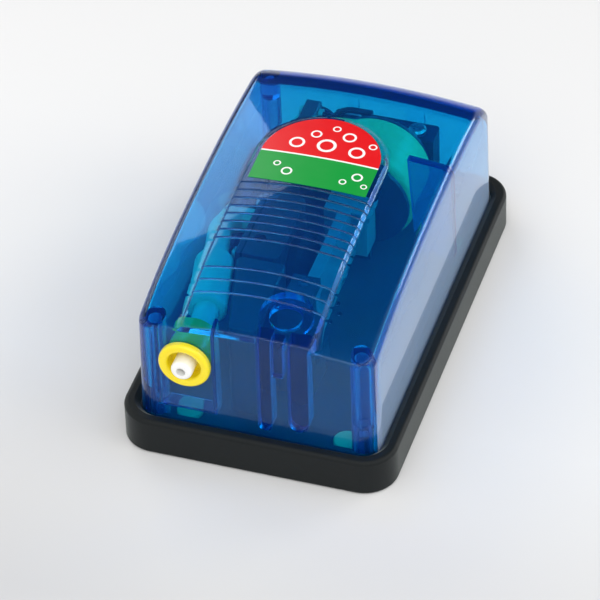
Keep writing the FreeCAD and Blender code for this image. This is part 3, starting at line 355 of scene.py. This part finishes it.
# a closed (radius, x) profile turned about an axis parallel to X through the centre:
# y = centre + radius sin(angle), z = centre + radius cos(angle)
def turned(profile, centre, steps, name, slot):
    radius, x = np.array(profile, float).T
    angle = np.arange(steps) * 2 * math.pi / steps
    y = centre[0] + radius[:, None] * np.sin(angle)
    z = centre[1] + radius[:, None] * np.cos(angle)
    points = np.stack([np.broadcast_to(x[:, None], y.shape), y, z], -1).reshape(-1, 3)
    index = np.pad(np.arange(len(points)).reshape(y.shape), ((0, 1), (0, 1)), "wrap")
    return addPiece(name, points, gridFaces(index), slot)


# a closed outline in a plane with each corner rounded by its own radius
def roundedProfile(corners, radii, steps=6):
    corners = np.array(corners, float)
    out = []
    for before, here, after, radius in zip(np.roll(corners, 1, 0), corners, np.roll(corners, -1, 0), radii):
        back = (before - here) / np.linalg.norm(before - here)
        ahead = (after - here) / np.linalg.norm(after - here)
        half = 0.5 * math.acos(np.clip(back @ ahead, -1, 1))
        if radius == 0:
            out.append(here[None])
            continue
        reach = radius / math.tan(half)
        middle = here + (back + ahead) / np.linalg.norm(back + ahead) * radius / math.sin(half)
        share = np.linspace(0, 1, steps + 1)[:, None]
        chord = (here + back * reach) * (1 - share) + (here + ahead * reach) * share - middle
        out.append(middle + chord / np.linalg.norm(chord, axis=1)[:, None] * radius)
    return np.vstack(out)


casing = {
    "halfWidth": 30.34, "front": -51.86, "back": 52.3, "corner": 5.0, "spread": 0.55,
    "wall": 1.9, "foot": 4.2, "sideRound": 2.3, "frontRound": 0.7, "leastRound": 0.4,
    "crestY": 10.0, "crestZ": 46.2, "crownRadius": 210.0, "crestArc": 400.0,
    "frontArc": 155.0, "frontFrom": -20.0, "rearArc": 300.0,
    "rearRound": 14.0, "rearRoundInside": 15.0, "sharpFrom": 32,
}
panel = {
    "x": -1.8, "half": 17.3, "endY": 9.0, "rise": 1.1, "slope": 1.3,
    "grooveHalf": 0.42, "grooveDepth": 0.32, "grooveRound": 0.7, "grooveFade": 0.3,
    "bow": 1.3, "bowStart": 1.5, "bowFront": 7, "bowRear": 12,
}
grooveRows = [-4.2 - 2.87 * i for i in range(8)] + [-34.1 - 3.9 * i for i in range(3)]
spacing = {  # of the lines that the shell's surface is worked out on
    "along": (-51.8, 46.0, 0.8), "across": 1.0, "innerAlong": (-49.9, 46.0, 2.0), "innerAcross": 61,
    "grooves": [-0.56, -0.44, -0.32, -0.16, 0.0, 0.16, 0.32, 0.44, 0.56],
    "panelEdge": [-1.1, -0.8, -0.6, -0.4, -0.2, 0.0], "rearRound": 30, "walls": 14,
}


# 0 to 1 with a level start and end: t t (3 - 2 t)
def smooth(share):
    return share * share * (3 - 2 * share)


# side profile of the roof at x = 0: front, crest and rear arcs, each z = centreZ + sqrt(radius^2 -
# (y - centreY)^2), then the rounded back edge down to the wall
def roofProfile(inset, frontY, steps):
    c = casing
    lean = (c["frontFrom"] - c["crestY"]) / c["crestArc"]
    joinZ = c["crestZ"] - c["crestArc"] + math.sqrt(c["crestArc"] ** 2 - (c["frontFrom"] - c["crestY"]) ** 2)
    frontCentre = (c["frontFrom"] - c["frontArc"] * lean, joinZ - c["frontArc"] * math.sqrt(1 - lean ** 2))
    roundRadius = c["rearRound"] + (c["rearRoundInside"] - c["rearRound"]) * inset / c["wall"]
    roundY = c["back"] - inset - roundRadius
    rearCentreZ = c["crestZ"] - c["rearArc"]
    roundZ = rearCentreZ + math.sqrt((c["rearArc"] - inset - roundRadius) ** 2 - (roundY - c["crestY"]) ** 2)
    tangent = math.atan2(roundY - c["crestY"], roundZ - rearCentreZ)
    topEnd = roundY + roundRadius * math.sin(tangent)
    y = steps[(steps >= frontY) & (steps < topEnd - 0.2)]
    z = np.where(
        y < c["frontFrom"],
        frontCentre[1] + np.sqrt((c["frontArc"] - inset) ** 2 - (y - frontCentre[0]) ** 2),
        np.where(
            y < c["crestY"],
            c["crestZ"] - c["crestArc"] + np.sqrt((c["crestArc"] - inset) ** 2 - (y - c["crestY"]) ** 2),
            rearCentreZ + np.sqrt((c["rearArc"] - inset) ** 2 - (y - c["crestY"]) ** 2),
        ),
    )
    angle = np.linspace(tangent, math.pi / 2, spacing["rearRound"])
    y = np.concatenate([y, roundY + roundRadius * np.sin(angle)])
    z = np.concatenate([z, roundZ + roundRadius * np.cos(angle)])
    return y, z


# rise of the panel above the roof: a sloping wall along its outline, less the grooves that cross it, each
# (1 - (distance / half width)^2)^grooveRound deep
def panelHeight(x, y, row):
    inside = panel["half"] - np.where(
        y < panel["endY"], np.abs(x - panel["x"]), np.hypot(x - panel["x"], y - panel["endY"])
    )
    share = np.clip(inside / panel["slope"], 0, 1)
    rise = panel["rise"] * share * share * (3 - 2 * share)
    cut = np.zeros_like(rise)
    for groove in grooveRows:
        away = (row - groove) / panel["grooveHalf"]
        cut = np.maximum(cut, np.clip(1 - away ** 2, 0, 1) ** panel["grooveRound"])
    depth = panel["grooveDepth"] * cut * np.clip(inside / panel["grooveFade"], 0, 1)
    return np.maximum(rise - depth, 0)


# roof and walls of one side of the shell. The roof is z = crown(profile(y), x) + panel - shoulder. The walls
# drop from its border, spreading outwards by the draft. Returns points, faces and the border loop at the foot
def shellSide(inset, across, along, withPanel):
    c = casing
    half = c["halfWidth"] - inset
    front = c["front"] + inset
    back = c["back"] - inset
    corner = c["corner"] - inset
    y, crest = roofProfile(inset, front, np.concatenate([[front], along]))
    reach = np.where(
        y < front + corner, np.sqrt(np.maximum(corner ** 2 - (front + corner - y) ** 2, 0)),
        np.where(y > back - corner, np.sqrt(np.maximum(corner ** 2 - (y - back + corner) ** 2, 0)), corner),
    )
    width = half - corner + reach
    x = across[None, :] * width[:, None]
    row = np.broadcast_to(y[:, None], x.shape)
    bow = 1 - np.clip(np.abs(x - panel["x"]) / panel["half"], 0, 1) ** 2
    fade = np.clip((row - c["front"] - panel["bowStart"]) / panel["bowFront"], 0, 1)
    fade = fade * np.clip((panel["endY"] - row) / panel["bowRear"], 0, 1)
    bowed = row + panel["bow"] * bow * fade * fade * (3 - 2 * fade) * withPanel
    axisZ = c["crestZ"] - c["crownRadius"]
    z = axisZ + np.sqrt((np.interp(bowed, y, crest) - axisZ) ** 2 - x ** 2)
    cornerX = np.maximum(np.abs(x) - (half - corner), 0)
    cornerY = np.maximum(front + corner - bowed, 0)
    toFront = corner - np.hypot(cornerX, cornerY)
    toFront = np.where(cornerX > 0, toFront, np.minimum(bowed - front, corner))
    toSide = width[:, None] - np.abs(x)
    near = np.where(bowed < front + corner, toFront, toSide)
    turn = np.clip(np.arctan2(cornerX, cornerY + 1e-6) / (math.pi / 2), 0, 1)
    turn = np.where(bowed < front + corner, smooth(turn), 1.0)
    edge = np.maximum(c["frontRound"] + (c["sideRound"] - c["frontRound"]) * turn - inset, c["leastRound"])
    near = np.clip(near, 0, edge)
    shoulder = edge - np.sqrt(edge ** 2 - (edge - near) ** 2)
    if withPanel:
        z = z + panelHeight(x, bowed, row) * np.clip(near / edge * 3, 0, 1)
    z = z - shoulder
    points = np.stack([x, bowed, z], -1).reshape(-1, 3)
    index = np.arange(x.size).reshape(x.shape)
    loop = np.concatenate([index[0, :-1], index[:-1, -1], index[-1, :0:-1], index[:0:-1, 0]])
    rim = points[loop]
    centre = np.stack([
        np.clip(rim[:, 0], -half + corner, half - corner),
        np.clip(rim[:, 1], front + corner, back - corner),
    ], -1)
    way = rim[:, :2] - centre
    way = way / np.linalg.norm(way, axis=1)[:, None]
    spread = c["spread"] * np.where(way[:, 1] > 0, np.abs(way[:, 0]), 1.0)
    walls = []
    for level in np.linspace(0, 1, spacing["walls"] + 1)[1:]:
        flat = rim[:, :2] + way * (spread * level)[:, None]
        height = rim[:, 2] + (c["foot"] - rim[:, 2]) * level
        walls.append(np.column_stack([flat, height]))
    rings = len(points) + np.arange(len(walls) * len(loop)).reshape(len(walls), len(loop))
    rings = np.pad(np.vstack([loop[None], rings]), ((0, 0), (0, 1)), "wrap")
    wallFaces = np.roll(gridFaces(rings)[:, ::-1], 1, 1)
    return np.vstack([points] + walls), np.vstack([gridFaces(index), wallFaces]), rings[-1, :-1]


# even spacing with extra lines at set offsets from each place
def refined(low, high, step, places, offsets):
    lines = list(np.arange(low, high, step)) + [high]
    for place in places:
        lines = [line for line in lines if abs(line - place) > max(offsets)]
        lines += [place + offset for offset in offsets]
    return np.array(sorted(line for line in lines if low <= line <= high))


# a smooth-shaded object from a bmesh, with nothing on it yet
def looseSolid(name, mesh):
    data = bpy.data.meshes.new(name)
    mesh.to_mesh(data)
    mesh.free()
    data.shade_smooth()
    solid = bpy.data.objects.new(name, data)
    scene.collection.objects.link(solid)
    return solid


# bmesh box between three (low, high) pairs in mm, its edges softened
def block(x, y, z, soft=0.25):
    mesh = bmesh.new()
    corners = [Vector((x[i], y[j], z[k])) * mm for i in (0, 1) for j in (0, 1) for k in (0, 1)]
    for corner in corners:
        mesh.verts.new(corner)
    bmesh.ops.convex_hull(mesh, input=mesh.verts)
    bmesh.ops.dissolve_limit(mesh, angle_limit=0.01, verts=mesh.verts, edges=mesh.edges)
    if soft:
        bmesh.ops.bevel(mesh, geom=mesh.edges, offset=soft * mm, segments=3, profile=0.5, affect="EDGES")
    return mesh


# bmesh solid from an outline of (x, z) points in mm, swept from y[0] to y[1]
def prism(outline, y, soft=0.3):
    mesh = bmesh.new()
    rings = [[mesh.verts.new(Vector((px, end, pz)) * mm) for px, pz in outline] for end in y]
    mesh.faces.new(rings[0])
    mesh.faces.new(rings[1][::-1])
    for i in range(len(outline)):
        j = (i + 1) % len(outline)
        mesh.faces.new([rings[0][i], rings[1][i], rings[1][j], rings[0][j]])
    bmesh.ops.recalc_face_normals(mesh, faces=mesh.faces)
    if soft:
        rims = [e for e in mesh.edges if abs(e.verts[0].co.y - e.verts[1].co.y) < 1e-6]
        bmesh.ops.bevel(mesh, geom=rims, offset=soft * mm, segments=3, profile=0.5, affect="EDGES")
    return mesh


# bmesh cylinder between two points in mm
def post(radius, start, end, steps):
    mesh = bmesh.new()
    first, last = Vector(start) * mm, Vector(end) * mm
    turn = (last - first).to_track_quat("Z", "Y").to_matrix().to_4x4()
    where = Matrix.Translation((first + last) / 2) @ turn
    long = (last - first).length
    bmesh.ops.create_cone(
        mesh, cap_ends=True, segments=steps, radius1=radius * mm, radius2=radius * mm, depth=long, matrix=where
    )
    return mesh


# bmesh part of a ring in plan, between two angles and two heights in mm
def arch(centre, radii, z, sweep, steps=20):
    angle = np.linspace(*sweep, steps + 1)
    outer, inner = (
        [(centre[0] + radius * math.cos(a), centre[1] + radius * math.sin(a)) for a in angle]
        for radius in radii
    )
    mesh = bmesh.new()
    low, high = (
        [[mesh.verts.new(Vector((*place, height)) * mm) for place in line] for line in (outer, inner)]
        for height in z
    )
    for i in range(steps):
        mesh.faces.new([low[0][i], low[0][i + 1], low[1][i + 1], low[1][i]])
        mesh.faces.new([high[0][i], high[1][i], high[1][i + 1], high[0][i + 1]])
        mesh.faces.new([low[0][i], high[0][i], high[0][i + 1], low[0][i + 1]])
        mesh.faces.new([low[1][i], low[1][i + 1], high[1][i + 1], high[1][i]])
    for i in (0, steps):
        mesh.faces.new([low[0][i], low[1][i], high[1][i], high[0][i]])
    bmesh.ops.recalc_face_normals(mesh, faces=mesh.faces)
    return mesh


# fin seen from the front: straight sides and a half-round toe
def finOutline(lowX, width, lowZ, top=48.0, steps=10):
    half = width / 2
    angle = np.linspace(0, math.pi, steps + 1)
    toe = [(lowX + half - half * math.cos(a), lowZ + half - half * math.sin(a)) for a in angle]
    return toe + [(lowX + width, top), (lowX, top)]


bosses = {"places": [(-26.0, -47.2), (26.0, -47.2), (-26.0, 43.5), (26.0, 43.5)], "radius": 2.6,
          "low": 4.2, "top": 48.0, "bore": 1.2, "boreLow": 3.0, "boreTop": 16.2,
          "core": 1.75, "coreLow": 16.0, "frontCoreTop": 35.5, "rearCoreTop": 33.5}
outlet = {"x": -17.3, "z": 28.3, "front": -52.03, "radius": 5.2, "reach": (-3, 6)}
gland = {"x": -16.0, "z": 20.0, "radius": 4.0, "reach": (47.0, 56.0)}
ribs = {
    "top": 48.0, "roofTop": 46.0,
    "hanging": [(17.9, 48.0), (32.0, 48.0), (32.0, 15.0), (20.0, 15.0)], "hangingY": (17.0, 19.2),
    "rear": ((-7.5, -4.5), (8.0, 13.0)), "rearY": (49.7, 51.5), "rearLow": 20.75,
    "frame": ((-25.4, -24.4), (-11.0, -10.0)), "frameY": (-51.0, -46.5), "frameLow": 12.0,
    "sill": (-25.2, -10.2), "sillZ": (12.1, 12.9),
}
holdDown = {"centre": (5.6, -42.0), "radii": (6.7, 4.1), "low": 38.0,
            "sweeps": ((-0.1, math.pi + 0.1), (math.pi, 2 * math.pi)),  # two parts that close the ring
            "fins": ((0.4, 3.6, 10.0), (8.2, 5.2, 11.5)), "finsY": (-51.0, -46.0),
            "tab": (4.3, 7.1), "tabY": (-51.0, -47.2), "tabLow": 28.0}


# upright posts at every boss
def bossPosts(radius, low, frontTop, rearTop, steps):
    return [
        post(radius, (x, y, low), (x, y, frontTop if y < 0 else rearTop), steps)
        for x, y in bosses["places"]
    ]


# everything moulded on the inside of the shell, as separate solids
def casingRibs():
    solids = bossPosts(bosses["radius"], bosses["low"], bosses["top"], bosses["top"], 40)
    solids.append(prism(ribs["hanging"], ribs["hangingY"]))
    solids += [block(x, ribs["rearY"], (ribs["rearLow"], ribs["top"])) for x in ribs["rear"]]
    solids += [block(x, ribs["frameY"], (ribs["frameLow"], ribs["roofTop"])) for x in ribs["frame"]]
    solids.append(block(ribs["sill"], ribs["frameY"], ribs["sillZ"]))
    ringZ = (holdDown["low"], ribs["roofTop"])
    solids += [arch(holdDown["centre"], holdDown["radii"], ringZ, sweep) for sweep in holdDown["sweeps"]]
    solids += [prism(finOutline(*fin), holdDown["finsY"]) for fin in holdDown["fins"]]
    solids.append(block(holdDown["tab"], holdDown["tabY"], (holdDown["tabLow"], ribs["roofTop"])))
    return solids


# screw bores, each with a wider core above it
def bossBores():
    bores = bossPosts(bosses["bore"], bosses["boreLow"], bosses["boreTop"], bosses["boreTop"], 24)
    return bores + bossPosts(
        bosses["core"], bosses["coreLow"], bosses["frontCoreTop"], bosses["rearCoreTop"], 32
    )


# through the shell for the outlet bush and the cord gland
def casingHoles():
    ends = [(outlet["x"], outlet["front"] + reach, outlet["z"]) for reach in outlet["reach"]]
    glandEnds = [(gland["x"], y, gland["z"]) for y in gland["reach"]]
    return [post(outlet["radius"], *ends, 64), post(gland["radius"], *glandEnds, 48)]


# the union of several bmesh solids as one object
def joined(name, meshes):
    solids = [looseSolid(name, mesh) for mesh in meshes]
    whole = solids[0]
    for other in solids[1:]:
        combine(whole, other, "UNION")
    return whole


# boolean on the target's own mesh; the tool is used up
def combine(target, tool, operation):
    change = target.modifiers.new("change", "BOOLEAN")
    change.operation = operation
    change.object = tool
    change.solver = "EXACT"
    graph = bpy.context.evaluated_depsgraph_get()
    result = bpy.data.meshes.new_from_object(target.evaluated_get(graph))
    target.modifiers.clear()
    target.data = result
    bpy.data.objects.remove(tool)


# lines of the outer surface: close together over the grooves, the panel's edges and the rounded edges
def outerLines():
    half, frontRound, sideRound = casing["halfWidth"], casing["frontRound"], casing["sideRound"]
    along = refined(*spacing["along"], grooveRows, spacing["grooves"])
    frontLines = casing["front"] + frontRound * (1 - np.cos(np.linspace(0.12, math.pi / 2, 7)))
    along = np.array(sorted([line for line in along if line > frontLines[-1]] + list(frontLines)))
    left, right = panel["x"] - panel["half"], panel["x"] + panel["half"]
    across = refined(-half, half, spacing["across"], [], [])
    across = [line for line in across if min(abs(line - left - 0.5), abs(line - right + 0.5)) > 0.9]
    across += [right + offset for offset in spacing["panelEdge"]]
    across += [left - offset for offset in spacing["panelEdge"]]
    shoulder = sideRound * (1 - np.cos(np.linspace(0, math.pi / 2, 9)))
    across = [line for line in across if abs(line) < half - sideRound]
    across += list(half - shoulder) + list(shoulder - half)
    return np.array(sorted(across)) / half, along


# the casing's wall between its outer and inner surfaces, bridged at the foot
def shellMesh(outer, inner):
    mesh = bmesh.new()
    shift = len(outer[0])
    verts = [mesh.verts.new(point * mm) for point in np.vstack([outer[0], inner[0]])]
    for quad in np.vstack([outer[1], inner[1][:, ::-1] + shift]):
        mesh.faces.new([verts[i] for i in quad])
    footEdges = []
    for loop in (outer[2], inner[2] + shift):
        for first, second in zip(loop, np.roll(loop, -1)):
            footEdges.append(mesh.edges.get((verts[first], verts[second])))
    bmesh.ops.bridge_loops(mesh, edges=footEdges)
    bmesh.ops.recalc_face_normals(mesh, faces=mesh.faces)
    return mesh


# everything inside one surface, closed at the foot
def roomMesh(side):
    mesh = bmesh.new()
    verts = [mesh.verts.new(point * mm) for point in side[0]]
    for face in [*side[1], side[2]]:
        mesh.faces.new([verts[i] for i in face])
    bmesh.ops.recalc_face_normals(mesh, faces=mesh.faces)
    return mesh


# the shell, with what is moulded inside it cut off halfway through the wall and then joined on
def makeCasing():
    innerAlong = refined(*spacing["innerAlong"], [], [])
    innerAcross = np.sin(np.linspace(-math.pi / 2, math.pi / 2, spacing["innerAcross"]))
    outer = shellSide(0.0, *outerLines(), True)
    inner = shellSide(casing["wall"], innerAcross, innerAlong, False)
    middle = shellSide(casing["wall"] / 2, innerAcross, innerAlong, False)
    shell = looseSolid("casing_shell", shellMesh(outer, inner))
    inside = looseSolid("casing_room", roomMesh(middle))
    moulded = joined("casing_ribs", casingRibs())
    combine(moulded, inside, "INTERSECT")
    combine(moulded, joined("casing_bores", bossBores()), "DIFFERENCE")
    combine(shell, joined("casing_holes", casingHoles()), "DIFFERENCE")
    combine(shell, moulded, "UNION")
    shell.data.set_sharp_from_angle(angle=math.radians(casing["sharpFrom"]))
    shell.data.materials.append(finishes["clear_blue"])
    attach(shell, "housing")
    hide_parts("top_casing")
    return shell


# rubber cup: its bead stays with the valve box and its middle goes with the arm
cup = {"centre": (-1.0, 18.5), "seat": -6.0, "pad": 0.3, "hole": 1.25, "bead": 9.0, "steps": 72,
       "rounds": [0, 0.8, 0.8, 0, 0.3, 0.6, 1.0, 0.5, 0], "sharpFrom": 50}


def makeCup():
    seat, pad = cup["seat"], cup["pad"]
    corners = [(cup["hole"], pad - 1.6), (5.0, pad - 1.6), (7.3, seat + 2.6), (7.3, seat), (cup["bead"], seat),
               (cup["bead"], seat + 2.2), (8.4, seat + 3.4), (5.6, pad), (cup["hole"], pad)]
    profile = roundedProfile(corners, cup["rounds"])
    piece = turned(profile, cup["centre"], cup["steps"], "diaphragm_cup", "black_rubber")
    piece.data.set_sharp_from_angle(angle=math.radians(cup["sharpFrom"]))
    return piece


casingShell = makeCasing()
diaphragmCup = makeCup()
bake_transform(diaphragmCup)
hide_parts("diaphragm")
print("casing:", len(casingShell.data.polygons), "faces, cup:", len(diaphragmCup.data.polygons), "faces")


cameraView = {"distance": 1200.0, "azimuth": 18.9943, "elevation": 41.8254, "roll": -2.1529,
              "aimX": 5.1995, "aimY": -5.9216, "lens": 284.39}


def makeCamera():
    view = cameraView
    azimuth, elevation, roll = (math.radians(view[key]) for key in ("azimuth", "elevation", "roll"))
    back = Vector((
        math.sin(azimuth) * math.cos(elevation), -math.cos(azimuth) * math.cos(elevation), math.sin(elevation)
    ))
    right = Vector((math.cos(azimuth), math.sin(azimuth), 0))
    up = back.cross(right)
    across = right * math.cos(roll) + up * math.sin(roll)
    above = up * math.cos(roll) - right * math.sin(roll)
    data = bpy.data.cameras.new("camera")
    data.lens = view["lens"]
    data.sensor_width = 36
    data.clip_end = 10
    camera = bpy.data.objects.new("camera", data)
    place = (back * view["distance"] - across * view["aimX"] - above * view["aimY"]) * mm
    turn = Matrix((across, above, back)).transposed().to_4x4()
    camera.matrix_world = Matrix.Translation(place) @ turn
    scene.collection.objects.link(camera)
    scene.camera = camera


def addLamp(name, place, aim, size, power):
    data = bpy.data.lights.new(name, "AREA")
    data.shape = "RECTANGLE"
    data.size, data.size_y = size
    data.energy = power
    lamp = bpy.data.objects.new(name, data)
    lamp.location = place
    lamp.rotation_euler = (Vector(aim) - Vector(place)).to_track_quat("-Z", "Y").to_euler()
    scene.collection.objects.link(lamp)


lamps = {
    "frontTopSoftbox": ((0.1, -0.75, 1.0), (0, 0, 0.02), (0.9, 0.7), 2.6),
    "rightSoftbox": ((1.0, 0.0, 0.7), (0, 0, 0.03), (0.8, 0.7), 3.2),
    "rightBackStrip": ((0.75, 0.85, 0.42), (0, 0, 0.03), (0.5, 0.3), 3.0),
    "leftBackSoftbox": ((-0.74, 0.70, 0.66), (0, 0, 0.03), (0.75, 0.6), 3.8),
}
room = {"bright": 1.06, "dim": 0.02, "dimWay": (-0.24, 0.70, 0.667), "dimFrom": 0.62, "dimTo": 0.86}
# floor colour along y: darker at the front and lightest around the object, painted light that evens out the
# object's shadow on the floor and the fall of light towards the front
floorLook = {"size": 6.0, "below": 0.2, "span": 0.30,
             "stops": [(0.14, (0.655,) * 3), (0.40, (0.81,) * 3), (0.7, (0.82,) * 3), (1.0, (0.765,) * 3)]}


# light from all round, with a dim part behind the object for its roof to mirror
def makeRoom():
    scene.world = bpy.data.worlds.new("room")
    light = Finish("room", {"Color": (1.0, 1.0, 1.0)}, scene.world, "Background")
    way = light.node("TexCoord", {}, output="Generated")
    toward = light.node("VectorMath", {"operation": "DOT_PRODUCT"}, way, room["dimWay"], output="Value")
    levels = [room[key] for key in ("dimFrom", "dimTo", "bright", "dim")]
    light.drive(Strength=light.node("MapRange", {"interpolation_type": "SMOOTHSTEP"}, toward, *levels))


def makeStage():
    makeRoom()
    for name, (place, aim, size, power) in lamps.items():
        addLamp(name, place, aim, size, power)
    bpy.ops.mesh.primitive_plane_add(size=floorLook["size"], location=(0, 0, -floorLook["below"] * mm))
    floor = bpy.context.object
    floor.name = "floor"
    lightPaintedFloor = Finish("floor_painted_light", {"Roughness": 0.7, "Specular IOR Level": 0.2})
    x, y, z = lightPaintedFloor.axes()
    farShare = y * (1 / floorLook["span"]) + 0.5
    # painted light: a ramp from darker at the front to lighter around the object
    lightPaintedFloor.drive(Base_Color=lightPaintedFloor.node("ValToRGB", {"stops": floorLook["stops"]}, farShare))
    floor.data.materials.append(lightPaintedFloor.material)


makeCamera()
makeStage()
scene.view_settings.view_transform = "Standard"
print("stage and camera set")
